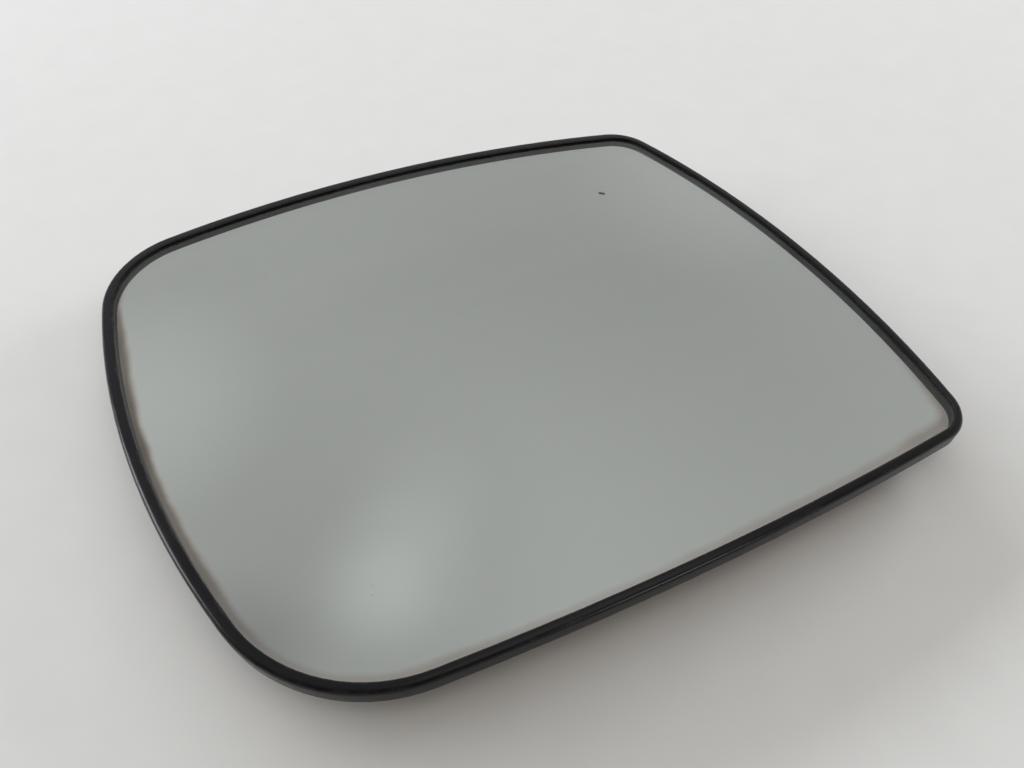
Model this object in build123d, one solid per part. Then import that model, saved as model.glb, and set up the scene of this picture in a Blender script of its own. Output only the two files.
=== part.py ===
from build123d import *
import math
import os

# A left-hand door mirror glass, in millimetres, lying face up on the sockets of its back.
# The origin is on the pivot axis, at the mouth of the pivot socket.
# X runs inboard, Y towards the top edge and Z out of the mirror's face.

# Rim outline seen square on, between its corners before rounding
bottom_length = 169.5
rim_height = 147.3
outboard_lean = 14.7
inboard_lean = 21.4
inboard_drop = 12.5

# Place of the pivot axis, from the outboard bottom corner
pivot_inboard = 74.4
pivot_up = 71.3

# Bow of each side beyond the straight line between its corners
bottom_bow = 4.6
inboard_bow = 8.0
top_bow = 7.1
outboard_bow = 12.6

# Rounding of the corners
outboard_bottom_radius = 41.9
inboard_bottom_radius = 9.7
inboard_top_radius = 14.2
outboard_top_radius = 23.6

# Layers, from the convex mirror face backwards
mirror_radius = 1300.0
glass_thickness = 2.0
pad_thickness = 0.8
plate_thickness = 1.8

# Height of the plate's back over the rest plane, at the pivot axis
stand_height = 12.0

# Rim: its side wall, and the lip that laps over the glass
rim_wall = 1.4
lip_width = 2.7
lip_height = 0.8
lip_seat_gap = 0.1
shoulder_radius = 1.4
lip_edge_chamfer = 0.3
rim_foot_chamfer = 0.5

# Place of the opening inside the lip, off the middle of the rim
opening_inboard = 0.3
opening_down = 0.4

# Glass and adhesive pad inside the rim
glass_edge_gap = 0.3
glass_arris = 0.3
pad_margin = 4.0

# Pivot socket: a split ring that snaps over a domed pivot, with a spherical seat behind its neck
pivot_neck = 32.0
pivot_neck_length = 2.2
pivot_undercut = 0.6
pivot_wall = 2.4
pivot_depth = 7.0
pivot_seat_rise = 3.2
pivot_slot_width = 3.0
pivot_slot_depth = 6.0

# Drive sockets: split cups that snap over the balls of the two drive screws
drive_reach = 46.0
drive_ball = 9.0
drive_ball_height = 4.2
drive_neck = 8.4
drive_neck_length = 2.0
drive_lead_in = 0.6
drive_seat_end = 4.4
drive_wall = 2.2
drive_slit_width = 1.0
drive_slit_depth = 5.0

# Chamfer round the outside of every socket mouth
mouth_chamfer = 0.6

# How far the upright blocks run past the lip before the curved faces cut them
block_margin = 1.0

# Ribs on the back: spokes, a ring through the drive sockets and a frame inside the rim
rib_thickness = 1.4
rib_height = 4.6
spoke_count = 8
frame_rib_inset = 12.0

# Heights of the layer faces over the plate's back, along the mirror's curve
glass_back = plate_thickness + pad_thickness
glass_front = glass_back + glass_thickness
lip_top = glass_front + lip_height

plate_back_radius = mirror_radius - glass_front
glass_inset = rim_wall + glass_edge_gap
rib_level = stand_height - rib_height
block_top = stand_height + lip_top + block_margin

drive_places = [(-drive_reach, 0), (0, drive_reach)]


def side_disc(start, end, bow, inset):
    """Disc whose edge is one bowed side of the rim, moved in by an inset."""
    chord = Vector(end) - Vector(start)
    inward = Vector(-chord.Y, chord.X).normalized()
    radius = (chord.length**2 / 4 + bow**2) / (2 * bow)
    centre = (Vector(start) + Vector(end)) / 2 + inward * (radius - bow)
    return Plane(centre, x_dir=inward, z_dir=(0, 0, 1)) * Circle(radius - inset)


def rim_plan(inset):
    """The rim's outline moved in by an inset: the area that four discs share, with rounded corners."""
    low = -pivot_up
    high = rim_height - pivot_up
    outboard = -pivot_inboard
    inboard = bottom_length - pivot_inboard
    corners = [
        (outboard, low),
        (inboard, low),
        (inboard - inboard_lean, high - inboard_drop),
        (outboard - outboard_lean, high),
    ]
    bows = [bottom_bow, inboard_bow, top_bow, outboard_bow]
    radii = [outboard_bottom_radius, inboard_bottom_radius, inboard_top_radius, outboard_top_radius]
    ends = corners[1:] + corners[:1]
    discs = [side_disc(start, end, bow, inset) for start, end, bow in zip(corners, ends, bows)]
    plan = discs[0] & discs[1] & discs[2] & discs[3]
    for corner, radius in zip(corners, radii):
        if radius > inset:
            plan = fillet(plan.vertices().sort_by_distance(corner)[0], radius - inset)
    return plan


def prism(inset, low=0.0):
    """Upright block of the rim's outline moved in by an inset, from a level up past the lip."""
    return Pos(0, 0, low) * extrude(rim_plan(inset), block_top - low)


def under(height):
    """Ball up to the curved face at this height over the plate's back, with its poles clear of the part."""
    centre = Pos(0, 0, stand_height - plate_back_radius)
    return centre * Rot(90, 0, 0) * Sphere(plate_back_radius + height)


def turned(*points):
    """Solid turned about the Z axis from the corners of its half section."""
    return revolve(Plane.XZ * make_face(Polyline(*points, close=True)), Axis.Z)


def curved_face(solid, height):
    """The face of a solid that follows the mirror's curve at this height over the plate's back."""
    radius = plate_back_radius + height
    spheres = solid.faces().filter_by(GeomType.SPHERE)
    return spheres.sort_by(lambda face: abs(face.radius - radius))[0]


def make_mirror_glass():
    """Convex glass with its sharp edges ground off; its back face carries the silvering."""
    glass = (prism(glass_inset) & under(glass_front)) - under(glass_back)
    edges = curved_face(glass, glass_front).outer_wire().edges()
    edges += curved_face(glass, glass_back).outer_wire().edges()
    return chamfer(edges, glass_arris)


def make_adhesive_pad():
    """Thin bonded sheet between the glass and the plate, a margin smaller than the glass."""
    return (prism(glass_inset + pad_margin) & under(glass_back)) - under(plate_thickness)


def round_shoulder(shell):
    """Rounds the rim's outer top edge with two facets, at 30 and 60 degrees, on the shoulder radius."""
    half_facet = math.tan(math.radians(15))
    whole_facet = math.tan(math.radians(30))
    top = curved_face(shell, lip_top)
    on_top = shoulder_radius * (1 - whole_facet)
    on_wall = shoulder_radius * (1 - half_facet)
    shell = chamfer(top.outer_wire().edges(), on_top, on_wall, reference=top)
    second = shoulder_radius * (whole_facet - half_facet)
    return chamfer(curved_face(shell, lip_top).outer_wire().edges(), second)


def make_shell():
    """The curved plate with the rim and lip that hold the glass."""
    block = (prism(0) & under(lip_top)) - under(0)
    window = Pos(opening_inboard, -opening_down, 0) * prism(lip_width) - under(plate_thickness)
    channel = (prism(rim_wall) & under(glass_front + lip_seat_gap)) - under(plate_thickness)
    shell = round_shoulder(block - window - channel)
    shell = chamfer(curved_face(shell, lip_top).inner_wires()[0].edges(), lip_edge_chamfer)
    return chamfer(curved_face(shell, 0).outer_wire().edges(), rim_foot_chamfer)


def make_ribs():
    """Spokes from the pivot, a ring through the drive sockets, and a frame along the rim."""
    inside = prism(frame_rib_inset, rib_level)
    frame = inside - prism(frame_rib_inset + rib_thickness, rib_level)
    rib_box = (Align.MIN, Align.CENTER, Align.MIN)
    spoke = Pos(0, 0, rib_level) * Box(bottom_length, rib_thickness, block_top, align=rib_box)
    spokes = [Rot(0, 0, 360 / spoke_count * turn) * spoke & inside for turn in range(spoke_count)]
    ring_height = block_top - rib_level
    on_level = (Align.CENTER, Align.CENTER, Align.MIN)
    ring = Cylinder(drive_reach + rib_thickness / 2, ring_height, align=on_level)
    ring -= Cylinder(drive_reach - rib_thickness / 2, ring_height, align=on_level)
    return [frame, Pos(0, 0, rib_level) * ring] + spokes


def boss(diameter):
    """Round boss that stands on the rest plane, with a chamfered mouth."""
    radius = diameter / 2
    lip = radius - mouth_chamfer
    return turned((0, 0), (lip, 0), (radius, mouth_chamfer), (radius, block_top), (0, block_top))


def cross_cut(length, width, depth):
    """Two crossing slots that split a socket's wall, open at its mouth."""
    slot = Box(length, width, depth, align=(Align.CENTER, Align.CENTER, Align.MIN))
    return slot + Rot(0, 0, 90) * slot


def pivot_hollow():
    """Neck of the pivot socket, the undercut behind it and the spherical seat that closes it."""
    neck = pivot_neck / 2
    inside = neck + pivot_undercut
    seat_edge = (inside, pivot_depth)
    seat_top = (0, pivot_depth + pivot_seat_rise)
    seat_radius = (inside**2 + pivot_seat_rise**2) / (2 * pivot_seat_rise)
    neck_top = (neck, pivot_neck_length)
    undercut_start = (inside, pivot_neck_length + pivot_undercut)
    wall = Polyline(seat_top, (0, 0), (neck, 0), neck_top, undercut_start, seat_edge)
    seat = RadiusArc(seat_edge, seat_top, -seat_radius)
    return revolve(Plane.XZ * make_face([wall, seat]), Axis.Z)


def drive_hollow():
    """Lead-in and neck of a drive socket, the bore round the ball and the 45 degree seat it bears on."""
    ball = drive_ball / 2
    neck = drive_neck / 2
    end = drive_seat_end / 2
    neck_top = drive_lead_in + drive_neck_length
    seat_start = drive_ball_height + ball * (2**0.5 - 1)
    seat_top = seat_start + ball - end
    mouth = [(0, 0), (neck + drive_lead_in, 0), (neck, drive_lead_in)]
    bore = [(neck, neck_top), (ball, neck_top + ball - neck), (ball, seat_start)]
    return turned(*mouth, *bore, (end, seat_top), (0, seat_top))


def make_backing_plate():
    """The whole black moulding: shell, ribs and split sockets."""
    pivot_outside = pivot_neck + 2 * (pivot_undercut + pivot_wall)
    drive_outside = drive_ball + 2 * drive_wall
    stems = make_ribs() + [boss(pivot_outside)]
    stems += [Pos(x, y, 0) * boss(drive_outside) for x, y in drive_places]
    plate = make_shell()
    for stem in stems:
        plate += stem & under(plate_thickness / 2)
    plate -= pivot_hollow()
    plate -= Rot(0, 0, 45) * cross_cut(pivot_outside + pivot_wall, pivot_slot_width, pivot_slot_depth)
    for x, y in drive_places:
        plate -= Pos(x, y, 0) * drive_hollow()
        plate -= Pos(x, y, 0) * cross_cut(drive_outside + drive_wall, drive_slit_width, drive_slit_depth)
    return plate


os.makedirs("parts", exist_ok=True)
export_step(make_mirror_glass(), "parts/mirror_glass.step")
export_step(make_adhesive_pad(), "parts/adhesive_pad.step")
export_step(make_backing_plate(), "parts/backing_plate.step")
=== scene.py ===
import math

import bpy
import numpy as np
from bpy.props import FloatProperty, FloatVectorProperty, IntProperty, PointerProperty
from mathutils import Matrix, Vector


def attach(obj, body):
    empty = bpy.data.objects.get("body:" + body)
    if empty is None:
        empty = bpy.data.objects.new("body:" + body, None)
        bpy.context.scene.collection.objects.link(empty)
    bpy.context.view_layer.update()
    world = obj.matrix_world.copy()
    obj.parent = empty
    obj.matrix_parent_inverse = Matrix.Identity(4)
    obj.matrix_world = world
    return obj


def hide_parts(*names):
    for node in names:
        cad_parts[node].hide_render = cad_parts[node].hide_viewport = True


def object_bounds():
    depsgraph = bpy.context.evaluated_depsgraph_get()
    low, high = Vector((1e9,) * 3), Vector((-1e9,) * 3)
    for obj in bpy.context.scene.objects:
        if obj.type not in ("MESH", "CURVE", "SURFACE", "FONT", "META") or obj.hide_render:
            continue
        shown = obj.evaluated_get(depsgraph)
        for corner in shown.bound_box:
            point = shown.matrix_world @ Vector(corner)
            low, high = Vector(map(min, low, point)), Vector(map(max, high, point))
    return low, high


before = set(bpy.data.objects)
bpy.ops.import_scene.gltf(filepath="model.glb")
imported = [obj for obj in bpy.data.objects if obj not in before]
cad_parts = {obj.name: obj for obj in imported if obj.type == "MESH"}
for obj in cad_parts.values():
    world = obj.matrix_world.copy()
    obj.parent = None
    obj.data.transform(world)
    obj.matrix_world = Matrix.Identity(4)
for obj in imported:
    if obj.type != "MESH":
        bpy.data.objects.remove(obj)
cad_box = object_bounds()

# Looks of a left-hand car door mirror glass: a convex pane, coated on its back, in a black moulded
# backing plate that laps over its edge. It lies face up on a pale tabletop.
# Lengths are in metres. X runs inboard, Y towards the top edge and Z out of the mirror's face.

bl_info = {
    "name": "Door Mirror Glass",
    "version": (1, 0, 0),
    "blender": (4, 5, 0),
    "location": "3D View > Sidebar > Mirror Glass",
    "description": "Coated pane, moulded backing plate and studio of a car door mirror glass",
    "category": "Object",
}

MM = 0.001

# Lift of the coated face off the pad, which keeps the pad's points from showing through it
COATING_LIFT = 0.005 * MM

# How much closer the pane's rings lie towards its edge, where the ageing needs them; 1 spaces them evenly
RING_CROWDING = 1.7

# Dark pinholes in the coating, and at (-50.7, 44.5) a painted reflection of the speck just above it: place
# along X and Y, and diameter
PINHOLES_AND_REFLECTION = [
    (51.2 * MM, 39.9 * MM, 1.2 * MM),
    (51.9 * MM, 39.3 * MM, 1.2 * MM),
    (-49.6 * MM, 48.7 * MM, 0.36 * MM),
    # Painted reflection: the fainter double of the speck above, as seen in the coating
    (-50.7 * MM, 44.5 * MM, 0.24 * MM),
    (-54.7 * MM, 24.9 * MM, 0.26 * MM),
    (-52.7 * MM, -49.4 * MM, 0.24 * MM),
    (-53.5 * MM, -51.2 * MM, 0.26 * MM),
    (90.5 * MM, -47.9 * MM, 0.36 * MM),
    (88.2 * MM, -67.6 * MM, 0.32 * MM),
    (87.0 * MM, -69.7 * MM, 0.26 * MM),
]

# Ageing of the coating by damp: place along X and Y, depth from 0 to 1, and reach in from the lip
AGED_PLACES = [
    (-86 * MM, 66 * MM, 0.30, 1.5 * MM),
    (-90 * MM, 56 * MM, 0.90, 3.0 * MM),
    (-91 * MM, 44 * MM, 1.00, 5.2 * MM),
    (-92 * MM, 13 * MM, 1.00, 3.4 * MM),
    (-87 * MM, -24 * MM, 0.78, 3.2 * MM),
    (-70 * MM, -60 * MM, 0.36, 2.4 * MM),
    (-45 * MM, -71 * MM, 0.46, 3.0 * MM),
    (-10 * MM, -74 * MM, 0.34, 2.6 * MM),
    (42 * MM, -73 * MM, 0.40, 3.4 * MM),
    (70 * MM, -72 * MM, 0.38, 3.4 * MM),
    (94 * MM, -67 * MM, 0.82, 6.8 * MM),
    (93 * MM, -50 * MM, 0.30, 3.0 * MM),
    (93 * MM, -33 * MM, 0.10, 1.5 * MM),
    (78 * MM, 20 * MM, 0.00, 1.0 * MM),
    (40 * MM, 68 * MM, 0.00, 1.0 * MM),
    (-30 * MM, 74 * MM, 0.00, 1.0 * MM),
    (-80 * MM, 76 * MM, 0.00, 1.0 * MM),
]

# Lamps: azimuth and elevation in degrees, distance, width and height in metres, and how far above the part
# they face in degrees, which keeps the low ones from burning out the tabletop beneath them
LAMP_PLACES = {
    "key": (100, 20, 1.6, 2.0, 0.5, 60),
    "outboard": (130, 16, 0.8, 0.8, 0.25, 60),
    "inboard": (10, 18, 0.8, 0.4, 0.2, 60),
    "overhead": (-90, 70, 0.8, 0.6, 0.6, 0),
    "side_sheen": (157, 20, 0.7, 0.28, 0.42, 0),
    "near_sheen": (-72, 12, 0.8, 0.22, 0.15, 0),
    "front_sheen": (-75, 60, 0.8, 0.6, 0.6, 0),
}

# Soft patches of the room: azimuth, elevation and radius in degrees, and brightness added
ROOM_PATCHES = [
    (98, 70, 6, 0.09),
    (93, 69, 9, 0.12),
    (82, 64, 8, 0.06),
    (110, 44, 13, 0.13),
    (101, 68, 22, -0.08),
    (132, 65, 10, -0.18),
    (54, 50, 30, -0.08),
    (45, 28, 15, 0.11),
    (58, 65, 27, 0.09),
]


def linear(hex_colour):
    """Turns an sRGB hex colour into linear red, green, blue and alpha."""
    parts = [int(hex_colour[i:i + 2], 16) / 255 for i in (1, 3, 5)]
    return tuple(p / 12.92 if p <= 0.04045 else ((p + 0.055) / 1.055) ** 2.4 for p in parts) + (1.0,)


def per_metre(size):
    """Texture scale at which one cell of a pattern has this real size."""
    return 1 / size


def towards(azimuth, elevation):
    """Unit vector at an azimuth from +X towards +Y and an elevation above the floor, in radians."""
    flat = math.cos(elevation)
    return Vector((flat * math.cos(azimuth), flat * math.sin(azimuth), math.sin(elevation)))


def colour_property(name, description, hex_colour):
    """Colour setting with an sRGB hex default."""
    return FloatVectorProperty(
        name=name, description=description, subtype="COLOR", size=4, min=0, max=1,
        default=linear(hex_colour),
    )


def length_property(name, description, default):
    """Length setting in metres."""
    return FloatProperty(
        name=name, description=description, unit="LENGTH", min=0, default=default, precision=5
    )


def power_property(name, description, default):
    """Lamp power setting in watts."""
    return FloatProperty(name=name, description=description, unit="POWER", min=0, default=default)


class PaneLook(bpy.types.PropertyGroup):
    """Sizes and colours of the coated pane."""

    arris: length_property("Arris", "Width ground off each sharp edge of the glass", 0.3 * MM)
    lip_overlap: length_property("Lip overlap", "Mean width of the glass that the lip hides", 1.0 * MM)
    opening_inboard: length_property("Opening inboard", "Shift of the lip's opening inboard", 0.3 * MM)
    opening_down: length_property("Opening down", "Shift of the lip's opening downwards", 0.4 * MM)
    around: IntProperty(name="Points around", description="Points along the outline", default=480, min=48)
    rings: IntProperty(name="Rings", description="Rings from the edge to the middle", default=40, min=8)
    glass_tint: colour_property("Glass tint", "Tint of clear float glass", "#f6faf7")
    # Ground edge: its dark value is painted shade for the edge that the lip keeps in shadow
    shaded_ground_colour: colour_property("Ground edge", "Colour of the glass where its edge is ground", "#2c302d")
    coating_colour: colour_property("Coating", "Colour that the coating reflects", "#c7c9c7")
    stain_colour: colour_property("Stained coating", "Colour of the coating as damp reaches it", "#bbb4b0")
    aged_colour: colour_property("Aged coating", "Colour of the coating where damp has aged it", "#685f55")
    # Also the colour of the painted reflection of a speck in the coating
    pinhole_and_reflection_colour: colour_property("Pinholes", "Colour of the pad seen through a pinhole", "#242523")
    aged_spread: length_property("Aged spread", "How far each aged place runs along the edge", 12 * MM)
    dust_colour: colour_property("Dust", "Colour of the dust along the lip", "#b5b1a8")
    dust_reach: length_property("Dust reach", "Width of the dusty band along the lip", 0.7 * MM)


class PlateLook(bpy.types.PropertyGroup):
    """Sizes and colours of the backing plate and its pad."""

    plastic_colour: colour_property("Plastic", "Colour of the black plastic", "#161518")
    scuff_colour: colour_property("Scuffs", "Colour of the plastic where its shoulder is scuffed", "#303032")
    grain: length_property("Grain", "Width of the moulded grain", 0.5 * MM)
    scuff_length: length_property("Scuff length", "Size of the patches of scuffing", 6.0 * MM)
    smooth_angle: FloatProperty(
        name="Smooth angle",
        description="Edges flatter than this look rounded",
        subtype="ANGLE",
        default=math.radians(35),
    )
    foam_colour: colour_property("Foam", "Colour of the adhesive foam", "#232324")
    foam_cell: length_property("Foam cell", "Width of the cells of the foam", 0.25 * MM)


class StudioLook(bpy.types.PropertyGroup):
    """The tabletop, the light and the camera."""

    table_colour: colour_property("Tabletop", "Colour of the pale tabletop", "#dbdcdb")
    table_size: length_property("Tabletop size", "Length of the tabletop's sides", 6.0)
    back_colour: colour_property("Back of the room", "Light from behind the mirror", "#c9c9c9")
    front_colour: colour_property("Front of the room", "Light from the near side", "#6c665f")
    lamp_colour: colour_property("Lamps", "Colour of the lamps round the part", "#fafdff")
    overhead_colour: colour_property("Overhead lamp", "Colour of the lamp above", "#ffeedd")
    key_power: power_property("Key power", "Power of the lamp behind", 42.0)
    outboard_power: power_property("Outboard power", "Power of the lamp behind the outboard side", 7.4)
    inboard_power: power_property("Inboard power", "Power of the lamp at the inboard side", 5.3)
    overhead_power: power_property("Overhead power", "Power of the lamp above", 0.82)
    side_sheen: power_property("Side sheen", "Power of the lamp that shows on the outboard shoulder", 3.4)
    near_sheen: power_property("Near sheen", "Power of the lamp that shows on the near shoulder", 0.9)
    front_sheen: power_property("Front sheen", "Power of the lamp that shows on the near lip", 1.0)
    focal_length: FloatProperty(
        name="Focal length", description="Lens of the camera in millimetres", default=29.18
    )
    distance: length_property("Camera distance", "From the camera to the point it looks at", 0.20285)
    azimuth: FloatProperty(
        name="Camera azimuth",
        description="Turn about the part",
        subtype="ANGLE",
        default=math.radians(-25.17),
    )
    elevation: FloatProperty(
        name="Camera elevation",
        description="Height above the table",
        subtype="ANGLE",
        default=math.radians(53),
    )
    target: FloatVectorProperty(
        name="Camera target",
        description="Point that the camera looks at",
        subtype="TRANSLATION",
        unit="LENGTH",
        default=(-4.6 * MM, -16.3 * MM, 17.4 * MM),
    )


def add_node(tree, kind, inputs=None, **settings):
    """Adds a node with its settings, and fills its inputs with values or links."""
    node = tree.nodes.new(kind)
    for name, value in settings.items():
        setattr(node, name, value)
    for key, value in (inputs or {}).items():
        if isinstance(value, bpy.types.NodeSocket):
            tree.links.new(value, node.inputs[key])
        else:
            node.inputs[key].default_value = value
    return node


def new_material(name):
    """Empty node material, with its node tree and its output node."""
    material = bpy.data.materials.new(name)
    material.use_nodes = True
    tree = material.node_tree
    tree.nodes.clear()
    return material, tree, add_node(tree, "ShaderNodeOutputMaterial")


def float_glass_polished(look):
    """Float glass, polished by its own melt: clean reflections, a faint green body and dust by the lip."""
    material, tree, output = new_material("float_glass_polished")
    place = add_node(tree, "ShaderNodeTexCoord").outputs["Object"]
    edge = add_node(tree, "ShaderNodeAttribute", attribute_name="edge_distance").outputs["Fac"]
    depth = add_node(tree, "ShaderNodeAttribute", attribute_name="aged_depth").outputs["Fac"]
    # Dust gathers where damp has stood: a band along the lip, broken up by its own clumps
    band = add_node(tree, "ShaderNodeMapRange", interpolation_type="SMOOTHSTEP", inputs={
        "Value": edge,
        "From Min": look.lip_overlap,
        "From Max": look.lip_overlap + look.dust_reach,
        "To Min": 0.22,
        "To Max": 0.0,
    }).outputs["Result"]
    band = add_node(tree, "ShaderNodeMath", operation="MULTIPLY", inputs={0: band, 1: depth}).outputs[0]
    clumps = add_node(tree, "ShaderNodeTexNoise", inputs={
        "Vector": place, "Scale": per_metre(2.5 * MM), "Detail": 4.0, "Roughness": 0.65,
    }).outputs["Fac"]
    dust = add_node(tree, "ShaderNodeMath", operation="MULTIPLY", inputs={0: band, 1: clumps}).outputs[0]
    # A wiped film veils the pane a little, in strokes along the wipe
    strokes = add_node(tree, "ShaderNodeMapping", inputs={
        "Vector": place, "Rotation": (0, 0, math.radians(38)), "Scale": (0.25, 1, 1),
    }).outputs["Vector"]
    smears = add_node(tree, "ShaderNodeTexNoise", inputs={
        "Vector": strokes, "Scale": per_metre(22 * MM), "Detail": 3.0, "Distortion": 0.6,
    }).outputs["Fac"]
    film = add_node(tree, "ShaderNodeMapRange", inputs={
        "Value": smears, "From Min": 0.35, "From Max": 0.75, "To Min": 0.0, "To Max": 0.025,
    }).outputs["Result"]
    dust = add_node(tree, "ShaderNodeMath", operation="ADD", inputs={0: dust, 1: film}).outputs[0]
    rough = add_node(tree, "ShaderNodeMath", operation="MULTIPLY", inputs={0: dust, 1: 0.8}).outputs[0]
    colour = add_node(tree, "ShaderNodeMix", data_type="RGBA", inputs={
        "Factor": dust, 6: look.glass_tint, 7: look.dust_colour,
    }).outputs[2]
    clear = add_node(tree, "ShaderNodeMath", operation="SUBTRACT", inputs={0: 1.0, 1: dust}).outputs[0]
    glass = add_node(tree, "ShaderNodeBsdfPrincipled", inputs={
        "Base Color": colour, "Roughness": rough, "Transmission Weight": clear, "IOR": 1.52,
    })
    tree.links.new(glass.outputs[0], output.inputs["Surface"])
    return material


def float_glass_ground_shaded(look):
    """Float glass ground off at its edge, opaque so that no light shines out under the lip; its dull, dark
    grey-green is painted shade for the unlit edge.
    """
    material, tree, output = new_material("float_glass_ground_shaded")
    # Dark base colour: painted shade on the ground edge under the lip
    ground = add_node(tree, "ShaderNodeBsdfPrincipled", inputs={
        "Base Color": look.shaded_ground_colour, "Roughness": 0.7, "IOR": 1.52,
    })
    tree.links.new(ground.outputs[0], output.inputs["Surface"])
    return material


def chromium_coating_sputtered(look):
    """Chromium sputtered on the glass: a dim, faintly green mirror that damp turns brown at its edge."""
    material, tree, output = new_material("chromium_coating_sputtered")
    place = add_node(tree, "ShaderNodeTexCoord").outputs["Object"]
    edge = add_node(tree, "ShaderNodeAttribute", attribute_name="edge_distance").outputs["Fac"]
    reach = add_node(tree, "ShaderNodeAttribute", attribute_name="aged_reach").outputs["Fac"]
    depth = add_node(tree, "ShaderNodeAttribute", attribute_name="aged_depth").outputs["Fac"]
    creep = add_node(tree, "ShaderNodeTexNoise", inputs={
        "Vector": place, "Scale": per_metre(9 * MM), "Detail": 4.0,
    }).outputs["Fac"]
    uneven = add_node(tree, "ShaderNodeMapRange", inputs={
        "Value": creep, "From Min": 0.3, "From Max": 0.7, "To Min": 0.85, "To Max": 1.15,
    }).outputs["Result"]
    front = add_node(tree, "ShaderNodeMath", operation="MULTIPLY", inputs={0: reach, 1: uneven}).outputs[0]
    past_lip = add_node(tree, "ShaderNodeMath", operation="SUBTRACT", inputs={
        0: edge, 1: look.lip_overlap,
    }).outputs[0]
    share = add_node(tree, "ShaderNodeMath", operation="DIVIDE", inputs={0: past_lip, 1: front}).outputs[0]
    aged = add_node(tree, "ShaderNodeMapRange", interpolation_type="SMOOTHSTEP", inputs={
        "Value": share, "From Min": 0.35, "From Max": 1.0, "To Min": depth, "To Max": 0.0,
    }).outputs["Result"]
    ramp = add_node(tree, "ShaderNodeValToRGB", inputs={"Fac": aged})
    stops = ramp.color_ramp.elements
    stops[0].color = look.coating_colour
    stops[1].color = look.aged_colour
    stops.new(0.35).color = look.stain_colour
    colour = ramp.outputs["Color"]
    # Pinholes, where the coating has come off and the dark pad shows, and one painted reflection of a speck
    # drawn as a dark spot
    flat = add_node(tree, "ShaderNodeVectorMath", operation="MULTIPLY", inputs={
        0: place, 1: (1, 1, 0),
    }).outputs[0]
    for x, y, diameter in PINHOLES_AND_REFLECTION:
        away = add_node(tree, "ShaderNodeVectorMath", operation="DISTANCE", inputs={0: flat, 1: (x, y, 0)})
        hole = add_node(tree, "ShaderNodeMapRange", interpolation_type="SMOOTHSTEP", inputs={
            "Value": away.outputs["Value"],
            "From Min": diameter * 0.3,
            "From Max": diameter * 0.6,
            "To Min": 1.0,
            "To Max": 0.0,
        }).outputs["Result"]
        colour = add_node(tree, "ShaderNodeMix", data_type="RGBA", inputs={
            "Factor": hole, 6: colour, 7: look.pinhole_and_reflection_colour,
        }).outputs[2]
    coating = add_node(tree, "ShaderNodeBsdfPrincipled", inputs={
        "Base Color": colour, "Metallic": 1.0, "Roughness": 0.02,
    })
    tree.links.new(coating.outputs[0], output.inputs["Surface"])
    return material


def abs_satin_moulded(look):
    """Black ABS moulded in a satin tool: a dull sheen over a fine grain, greyed where it was scuffed."""
    material, tree, output = new_material("abs_satin_moulded")
    place = add_node(tree, "ShaderNodeTexCoord").outputs["Object"]
    # The grain is drawn coarser than a satin tool leaves it, which would be too fine to show
    grain = add_node(tree, "ShaderNodeTexNoise", inputs={
        "Vector": place, "Scale": per_metre(look.grain), "Detail": 2.0,
    }).outputs["Fac"]
    patches = add_node(tree, "ShaderNodeTexNoise", inputs={
        "Vector": place, "Scale": per_metre(look.scuff_length), "Detail": 5.0, "Roughness": 0.6,
    }).outputs["Fac"]
    # Scuffs sit on the rounded shoulder: faces that lean between flat and upright
    normal = add_node(tree, "ShaderNodeNewGeometry").outputs["Normal"]
    lean = add_node(tree, "ShaderNodeSeparateXYZ", inputs={0: normal}).outputs["Z"]
    below = add_node(tree, "ShaderNodeMapRange", interpolation_type="SMOOTHSTEP", inputs={
        "Value": lean, "From Min": 0.3, "From Max": 0.65,
    }).outputs["Result"]
    above = add_node(tree, "ShaderNodeMapRange", interpolation_type="SMOOTHSTEP", inputs={
        "Value": lean, "From Min": 0.75, "From Max": 0.97, "To Min": 1.0, "To Max": 0.0,
    }).outputs["Result"]
    shoulder = add_node(tree, "ShaderNodeMath", operation="MULTIPLY", inputs={0: below, 1: above}).outputs[0]
    worn = add_node(tree, "ShaderNodeMapRange", interpolation_type="SMOOTHSTEP", inputs={
        "Value": patches, "From Min": 0.45, "From Max": 0.7, "To Min": 0.0, "To Max": 0.7,
    }).outputs["Result"]
    scuff = add_node(tree, "ShaderNodeMath", operation="MULTIPLY", inputs={0: shoulder, 1: worn}).outputs[0]
    colour = add_node(tree, "ShaderNodeMix", data_type="RGBA", inputs={
        "Factor": scuff, 6: look.plastic_colour, 7: look.scuff_colour,
    }).outputs[2]
    rough = add_node(tree, "ShaderNodeMapRange", inputs={
        "Value": patches, "From Min": 0.3, "From Max": 0.7, "To Min": 0.2, "To Max": 0.3,
    }).outputs["Result"]
    bump = add_node(tree, "ShaderNodeBump", inputs={
        "Height": grain, "Strength": 0.25, "Distance": 0.02 * MM,
    }).outputs["Normal"]
    plastic = add_node(tree, "ShaderNodeBsdfPrincipled", inputs={
        "Base Color": colour, "Roughness": rough, "IOR": 1.53, "Specular IOR Level": 0.16, "Normal": bump,
    })
    tree.links.new(plastic.outputs[0], output.inputs["Surface"])
    return material


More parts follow.
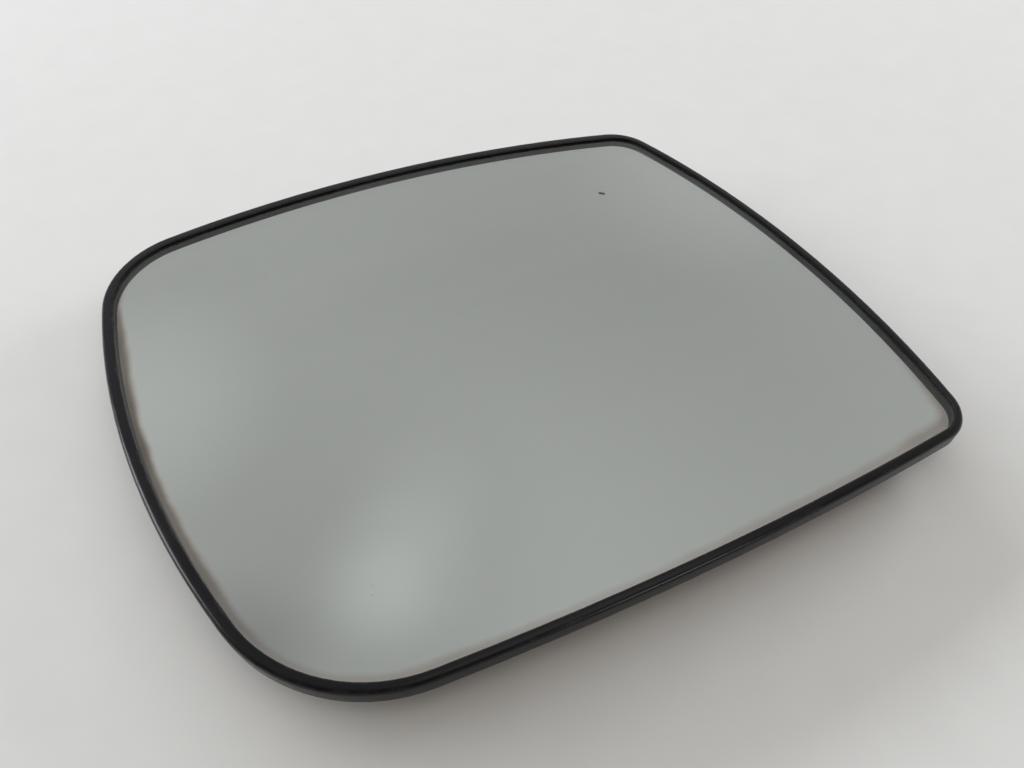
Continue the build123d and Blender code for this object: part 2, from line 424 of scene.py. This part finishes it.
def polyethylene_foam_cut(look):
    """Black closed-cell foam tape with cut edges: dull, with a fine pattern of cells."""
    material, tree, output = new_material("polyethylene_foam_cut")
    place = add_node(tree, "ShaderNodeTexCoord").outputs["Object"]
    cells = add_node(tree, "ShaderNodeTexVoronoi", inputs={
        "Vector": place, "Scale": per_metre(look.foam_cell),
    }).outputs["Distance"]
    shade = add_node(tree, "ShaderNodeMapRange", inputs={
        "Value": cells, "To Min": 0.5, "To Max": 1.0,
    }).outputs["Result"]
    colour = add_node(tree, "ShaderNodeMix", data_type="RGBA", blend_type="MULTIPLY", inputs={
        "Factor": 1.0, 6: look.foam_colour, 7: shade,
    }).outputs[2]
    bump = add_node(tree, "ShaderNodeBump", inputs={
        "Height": cells, "Strength": 0.6, "Distance": 0.1 * MM,
    }).outputs["Normal"]
    foam = add_node(tree, "ShaderNodeBsdfPrincipled", inputs={
        "Base Color": colour, "Roughness": 0.85, "IOR": 1.5, "Normal": bump,
    })
    tree.links.new(foam.outputs[0], output.inputs["Surface"])
    return material


def laminate_matt_pressed(look):
    """Pale laminate pressed with a matt plate: an even surface with a hardly visible mottle."""
    material, tree, output = new_material("laminate_matt_pressed")
    place = add_node(tree, "ShaderNodeTexCoord").outputs["Object"]
    mottle = add_node(tree, "ShaderNodeTexNoise", inputs={
        "Vector": place, "Scale": per_metre(12 * MM), "Detail": 4.0,
    }).outputs["Fac"]
    shade = add_node(tree, "ShaderNodeMapRange", inputs={
        "Value": mottle, "From Min": 0.3, "From Max": 0.7, "To Min": 0.975, "To Max": 1.0,
    }).outputs["Result"]
    colour = add_node(tree, "ShaderNodeMix", data_type="RGBA", blend_type="MULTIPLY", inputs={
        "Factor": 1.0, 6: look.table_colour, 7: shade,
    }).outputs[2]
    laminate = add_node(tree, "ShaderNodeBsdfPrincipled", inputs={
        "Base Color": colour, "Roughness": 0.6, "IOR": 1.5, "Specular IOR Level": 0.3,
    })
    tree.links.new(laminate.outputs[0], output.inputs["Surface"])
    return material


def node_points(name):
    """Vertices of a CAD node as an array."""
    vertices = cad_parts[name].data.vertices
    points = np.zeros(len(vertices) * 3)
    vertices.foreach_get("co", points)
    return points.reshape(-1, 3)


def outline_of(name):
    """Outline of a CAD node seen from above: the convex hull of its points, anticlockwise."""
    points = sorted({(round(x, 7), round(y, 7)) for x, y in node_points(name)[:, :2]})
    hull = []
    for run in (points, points[::-1]):
        start = len(hull)
        for x, y in run:
            while len(hull) - start > 1:
                (ax, ay), (bx, by) = hull[-2:]
                if (bx - ax) * (y - ay) - (by - ay) * (x - ax) > 0:
                    break
                hull.pop()
            hull.append((x, y))
        hull.pop()
    return np.array(hull)


def evenly_spaced(outline, count):
    """Points at even steps along a closed outline."""
    closed = np.vstack([outline, outline[:1]])
    along = np.concatenate([[0], np.cumsum(np.linalg.norm(np.diff(closed, axis=0), axis=1))])
    steps = np.linspace(0, along[-1], count, endpoint=False)
    return np.column_stack([np.interp(steps, along, closed[:, axis]) for axis in (0, 1)])


def face_sphere(name, side):
    """Radius and centre height of a CAD node's upper (1) or lower (-1) curved face, centred on the Z axis."""
    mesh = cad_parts[name].data
    used = {v for face in mesh.polygons if face.normal.z * side > 0.95 for v in face.vertices}
    points = node_points(name)[sorted(used)]
    system = np.column_stack([2 * points[:, 2], np.ones(len(points))])
    centre, rest = np.linalg.lstsq(system, (points**2).sum(1), rcond=None)[0]
    return math.sqrt(rest + centre**2), centre


def distance_to_outline(points, outline):
    """Distance of each point, seen from above, to the nearest side of an outline."""
    nearest = np.full(len(points), np.inf)
    for start, end in zip(outline, np.roll(outline, -1, axis=0)):
        side = end - start
        share = np.clip((points - start) @ side / (side @ side), 0, 1)
        nearest = np.minimum(nearest, np.linalg.norm(points - start - share[:, None] * side, axis=1))
    return nearest


def ageing_at(points, spread):
    """Depth and reach of the coating's ageing at each point, blended from the aged places."""
    places = np.array(AGED_PLACES)
    away = np.linalg.norm(points[:, None] - places[None, :, :2], axis=2)
    weights = np.exp(-((away - away.min(1, keepdims=True)) / spread) ** 2)
    weights /= weights.sum(1, keepdims=True)
    return weights @ places[:, 2], weights @ places[:, 3]


def pane_side(side, flat, edge, arris):
    """Points, edge ring and true normals of the pane's front (1) or coated back (-1)."""
    radius, centre = face_sphere("mirror_glass", side)
    radius += COATING_LIFT if side < 0 else 0
    height = centre + np.sqrt(radius**2 - (flat**2).sum(1))
    rim = centre + np.sqrt(radius**2 - (edge**2).sum(1)) - side * arris
    normals = np.column_stack([flat, height - centre]) / radius * side
    return np.column_stack([flat, height]), np.column_stack([edge, rim]), normals


def pane_faces(around_count, ring_count):
    """Corner numbers of the pane's front, edge and back faces.

    The points are the front's rings and its middle, the two edge rings, then the back's rings and its middle.
    """
    around = np.arange(around_count)
    after = np.roll(around, -1)
    last = (ring_count - 1) * around_count
    middle = last + around_count
    front_rim = middle + 1
    back_rim = front_rim + around_count
    back = back_rim + around_count

    def strip(outer, inner):
        """Four-cornered faces between two rings, facing up where the outer ring is outside."""
        return np.column_stack([outer + around, outer + after, inner + after, inner + around]).tolist()

    front_faces = []
    back_faces = []
    for ring in range(0, last, around_count):
        front_faces += strip(ring, ring + around_count)
        back_faces += strip(back + ring + around_count, back + ring)
    for a, b in zip(around, after):
        front_faces.append([last + a, last + b, middle])
        back_faces.append([back + last + b, back + last + a, back + middle])
    edge_faces = strip(front_rim, 0) + strip(back_rim, front_rim) + strip(back, back_rim)
    return front_faces, edge_faces, back_faces


class MIRRORGLASS_OT_pane(bpy.types.Operator):
    """Build the convex pane with its polished front, ground edge and coated back"""

    bl_idname = "mirror_glass.pane"
    bl_label = "Build Pane"
    bl_options = {"REGISTER", "UNDO"}

    def execute(self, context):
        look = context.scene.mirror_pane
        outline = outline_of("mirror_glass")
        edge = evenly_spaced(outline, look.around)
        inside = edge * (1 - look.arris / np.linalg.norm(edge, axis=1))[:, None]
        shares = 1 - (np.arange(look.rings) / look.rings) ** RING_CROWDING
        flat = np.vstack([inside * share for share in shares] + [[[0, 0]]])
        front, front_rim, front_normals = pane_side(1, flat, edge, look.arris)
        back, back_rim, back_normals = pane_side(-1, flat, edge, look.arris)
        points = np.vstack([front, front_rim, back_rim, back])
        front_faces, edge_faces, back_faces = pane_faces(look.around, look.rings)
        faces = front_faces + edge_faces + back_faces

        mesh = bpy.data.meshes.new("mirror_pane")
        mesh.from_pydata(points.tolist(), [], faces)
        mesh.materials.append(float_glass_polished(look))
        mesh.materials.append(float_glass_ground_shaded(look))
        mesh.materials.append(chromium_coating_sputtered(look))
        coated = len(front_faces) + len(edge_faces)
        slots = np.zeros(len(faces), np.int32)
        slots[len(front_faces):] = 1
        slots[coated:] = 2
        mesh.polygons.foreach_set("material_index", slots)
        mesh.polygons.foreach_set("use_smooth", np.ones(len(faces), bool))

        # The two faces take the normals of their spheres, so that the reflection is free of facets
        true_normals = np.vstack([front_normals, np.zeros((2 * look.around, 3)), back_normals])
        corners = []
        for number, face in enumerate(faces):
            if len(front_faces) <= number < coated:
                corners += [tuple(mesh.polygons[number].normal)] * len(face)
            else:
                corners += [tuple(true_normals[corner]) for corner in face]
        mesh.normals_split_custom_set(corners)

        seen_from_above = points[:, :2]
        depth, reach = ageing_at(seen_from_above, look.aged_spread)
        shift = np.array([look.opening_inboard, -look.opening_down])
        for name, values in (
            ("edge_distance", distance_to_outline(seen_from_above, outline + shift)),
            ("aged_depth", depth),
            ("aged_reach", reach),
        ):
            attribute = mesh.attributes.new(name, "FLOAT", "POINT")
            attribute.data.foreach_set("value", values.astype(np.float32))

        pane = bpy.data.objects.new("mirror_pane", mesh)
        context.scene.collection.objects.link(pane)
        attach(pane, "root")
        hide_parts("mirror_glass")
        return {"FINISHED"}


def rounded_shading(angle):
    """Geometry nodes that join split edges and shade every edge flatter than an angle as rounded."""
    group = bpy.data.node_groups.new("rounded_shading", "GeometryNodeTree")
    group.interface.new_socket("Geometry", in_out="INPUT", socket_type="NodeSocketGeometry")
    group.interface.new_socket("Geometry", in_out="OUTPUT", socket_type="NodeSocketGeometry")
    given = add_node(group, "NodeGroupInput").outputs[0]
    joined = add_node(group, "GeometryNodeMergeByDistance", inputs={
        "Geometry": given, "Distance": 0.001 * MM,
    }).outputs[0]
    bend = add_node(group, "GeometryNodeInputMeshEdgeAngle").outputs["Unsigned Angle"]
    sharp = add_node(group, "FunctionNodeCompare", operation="GREATER_THAN", inputs={
        0: bend, 1: angle,
    }).outputs["Result"]
    shaded = add_node(group, "GeometryNodeSetMeshNormal", mode="SHARPNESS", inputs={
        "Mesh": joined, "Remove Custom": True, "Edge Sharpness": sharp, "Face Sharpness": False,
    }).outputs[0]
    add_node(group, "NodeGroupOutput", inputs={0: shaded})
    return group


class MIRRORGLASS_OT_plate(bpy.types.Operator):
    """Finish the backing plate in satin black plastic, with its shoulder shaded round"""

    bl_idname = "mirror_glass.plate"
    bl_label = "Finish Backing Plate"
    bl_options = {"REGISTER", "UNDO"}

    def execute(self, context):
        look = context.scene.mirror_plate
        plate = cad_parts["backing_plate"]
        plate.material_slots[0].material = abs_satin_moulded(look)
        plate.modifiers.new("Rounded shading", "NODES").node_group = rounded_shading(look.smooth_angle)
        weighted = plate.modifiers.new("Weighted normals", "WEIGHTED_NORMAL")
        weighted.keep_sharp = True
        return {"FINISHED"}


class MIRRORGLASS_OT_pad(bpy.types.Operator):
    """Finish the adhesive pad in black foam"""

    bl_idname = "mirror_glass.pad"
    bl_label = "Finish Adhesive Pad"
    bl_options = {"REGISTER", "UNDO"}

    def execute(self, context):
        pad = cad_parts["adhesive_pad"]
        pad.material_slots[0].material = polyethylene_foam_cut(context.scene.mirror_plate)
        return {"FINISHED"}


def add_lamp(name, power, colour):
    """Soft rectangular lamp in its place round the part."""
    azimuth, elevation, distance, width, height, feather = LAMP_PLACES[name]
    lamp = bpy.data.lights.new(name, "AREA")
    lamp.shape = "RECTANGLE"
    lamp.size = width
    lamp.size_y = height
    lamp.energy = power
    lamp.color = colour[:3]
    holder = bpy.data.objects.new(name, lamp)
    holder.location = towards(math.radians(azimuth), math.radians(elevation)) * distance
    facing = towards(math.radians(azimuth), math.radians(elevation - feather))
    holder.rotation_mode = "QUATERNION"
    holder.rotation_quaternion = facing.to_track_quat("Z", "Y")
    bpy.context.scene.collection.objects.link(holder)
    return holder


def light_room(look):
    """Even room, brighter behind the mirror, with the soft patches of its ceiling."""
    world = bpy.data.worlds.new("room")
    world.use_nodes = True
    tree = world.node_tree
    tree.nodes.clear()
    ray = add_node(tree, "ShaderNodeTexCoord").outputs["Generated"]
    depth = add_node(tree, "ShaderNodeVectorMath", operation="DOT_PRODUCT", inputs={
        0: ray, 1: towards(math.radians(65), 0),
    }).outputs["Value"]
    behind = add_node(tree, "ShaderNodeMapRange", interpolation_type="SMOOTHSTEP", inputs={
        "Value": depth, "From Min": -0.7, "From Max": 0.1,
    }).outputs["Result"]
    light = add_node(tree, "ShaderNodeMix", data_type="RGBA", inputs={
        "Factor": behind, 6: look.front_colour, 7: look.back_colour,
    }).outputs[2]
    for azimuth, elevation, radius, brightness in ROOM_PATCHES:
        facing = add_node(tree, "ShaderNodeVectorMath", operation="DOT_PRODUCT", inputs={
            0: ray, 1: towards(math.radians(azimuth), math.radians(elevation)),
        }).outputs["Value"]
        nearness = add_node(tree, "ShaderNodeMapRange", inputs={
            "Value": facing, "From Min": math.cos(math.radians(radius)), "From Max": 1.0,
        }).outputs["Result"]
        # Squared, a patch fades out like a bell and shows no edge in the glass
        bell = add_node(tree, "ShaderNodeMath", operation="POWER", inputs={0: nearness, 1: 2.0}).outputs[0]
        light = add_node(tree, "ShaderNodeVectorMath", operation="MULTIPLY_ADD", inputs={
            0: bell, 1: (brightness, brightness, brightness), 2: light,
        }).outputs[0]
    background = add_node(tree, "ShaderNodeBackground", inputs={"Color": light, "Strength": 1.0})
    add_node(tree, "ShaderNodeOutputWorld", inputs={"Surface": background.outputs[0]})
    bpy.context.scene.world = world


class MIRRORGLASS_OT_stage(bpy.types.Operator):
    """Set the tabletop, the light and the camera"""

    bl_idname = "mirror_glass.stage"
    bl_label = "Set Stage"
    bl_options = {"REGISTER", "UNDO"}

    def execute(self, context):
        look = context.scene.mirror_studio
        half = look.table_size / 2
        rest = cad_box[0].z
        mesh = bpy.data.meshes.new("tabletop")
        corners = [(-half, -half, rest), (half, -half, rest), (half, half, rest), (-half, half, rest)]
        mesh.from_pydata(corners, [], [(0, 1, 2, 3)])
        mesh.materials.append(laminate_matt_pressed(look))
        table = bpy.data.objects.new("tabletop", mesh)
        context.scene.collection.objects.link(table)

        light_room(look)
        # These lamps light the part and the table, but do not show in the glass
        for lamp in (
            add_lamp("key", look.key_power, look.lamp_colour),
            add_lamp("outboard", look.outboard_power, look.lamp_colour),
            add_lamp("inboard", look.inboard_power, look.lamp_colour),
            add_lamp("overhead", look.overhead_power, look.overhead_colour),
        ):
            lamp.visible_glossy = False
            lamp.visible_transmission = False
        # These draw lines of sheen on the rim, and shine on nothing but the backing plate
        plate_only = bpy.data.collections.new("sheen_receivers")
        plate_only.objects.link(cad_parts["backing_plate"])
        for lamp in (
            add_lamp("side_sheen", look.side_sheen, look.lamp_colour),
            add_lamp("near_sheen", look.near_sheen, look.lamp_colour),
            add_lamp("front_sheen", look.front_sheen, look.lamp_colour),
        ):
            lamp.visible_diffuse = False
            lamp.light_linking.receiver_collection = plate_only

        lens = bpy.data.cameras.new("camera")
        lens.sensor_width = 36
        lens.lens = look.focal_length
        lens.clip_start = 0.01
        camera = bpy.data.objects.new("camera", lens)
        back = towards(look.azimuth - math.pi / 2, look.elevation)
        camera.location = Vector(look.target) + back * look.distance
        camera.rotation_mode = "QUATERNION"
        camera.rotation_quaternion = (-back).to_track_quat("-Z", "Y")
        context.scene.collection.objects.link(camera)
        context.scene.camera = camera
        context.scene.view_settings.view_transform = "Standard"
        return {"FINISHED"}


class MIRRORGLASS_PT_panel(bpy.types.Panel):
    """Steps and settings of the mirror glass"""

    bl_idname = "MIRRORGLASS_PT_panel"
    bl_label = "Mirror Glass"
    bl_space_type = "VIEW_3D"
    bl_region_type = "UI"
    bl_category = "Mirror Glass"

    def draw(self, context):
        for group, operators in STEPS.items():
            box = self.layout.box()
            look = getattr(context.scene, group)
            for name in look.__annotations__:
                box.prop(look, name)
            for operator in operators:
                box.operator(operator.bl_idname)


STEPS = {
    "mirror_pane": [MIRRORGLASS_OT_pane],
    "mirror_plate": [MIRRORGLASS_OT_plate, MIRRORGLASS_OT_pad],
    "mirror_studio": [MIRRORGLASS_OT_stage],
}
LOOKS = {"mirror_pane": PaneLook, "mirror_plate": PlateLook, "mirror_studio": StudioLook}
CLASSES = [*LOOKS.values(), *sum(STEPS.values(), []), MIRRORGLASS_PT_panel]


def register():
    """Adds the settings, the steps and the panel to Blender."""
    for item in CLASSES:
        bpy.utils.register_class(item)
    for name, look in LOOKS.items():
        setattr(bpy.types.Scene, name, PointerProperty(type=look))


def unregister():
    """Takes them out again."""
    for name in LOOKS:
        delattr(bpy.types.Scene, name)
    for item in reversed(CLASSES):
        bpy.utils.unregister_class(item)


def main():
    """Builds the part's looks and its stage."""
    register()
    bpy.ops.mirror_glass.pane()
    bpy.ops.mirror_glass.plate()
    bpy.ops.mirror_glass.pad()
    bpy.ops.mirror_glass.stage()


if __name__ == "__main__":
    main()
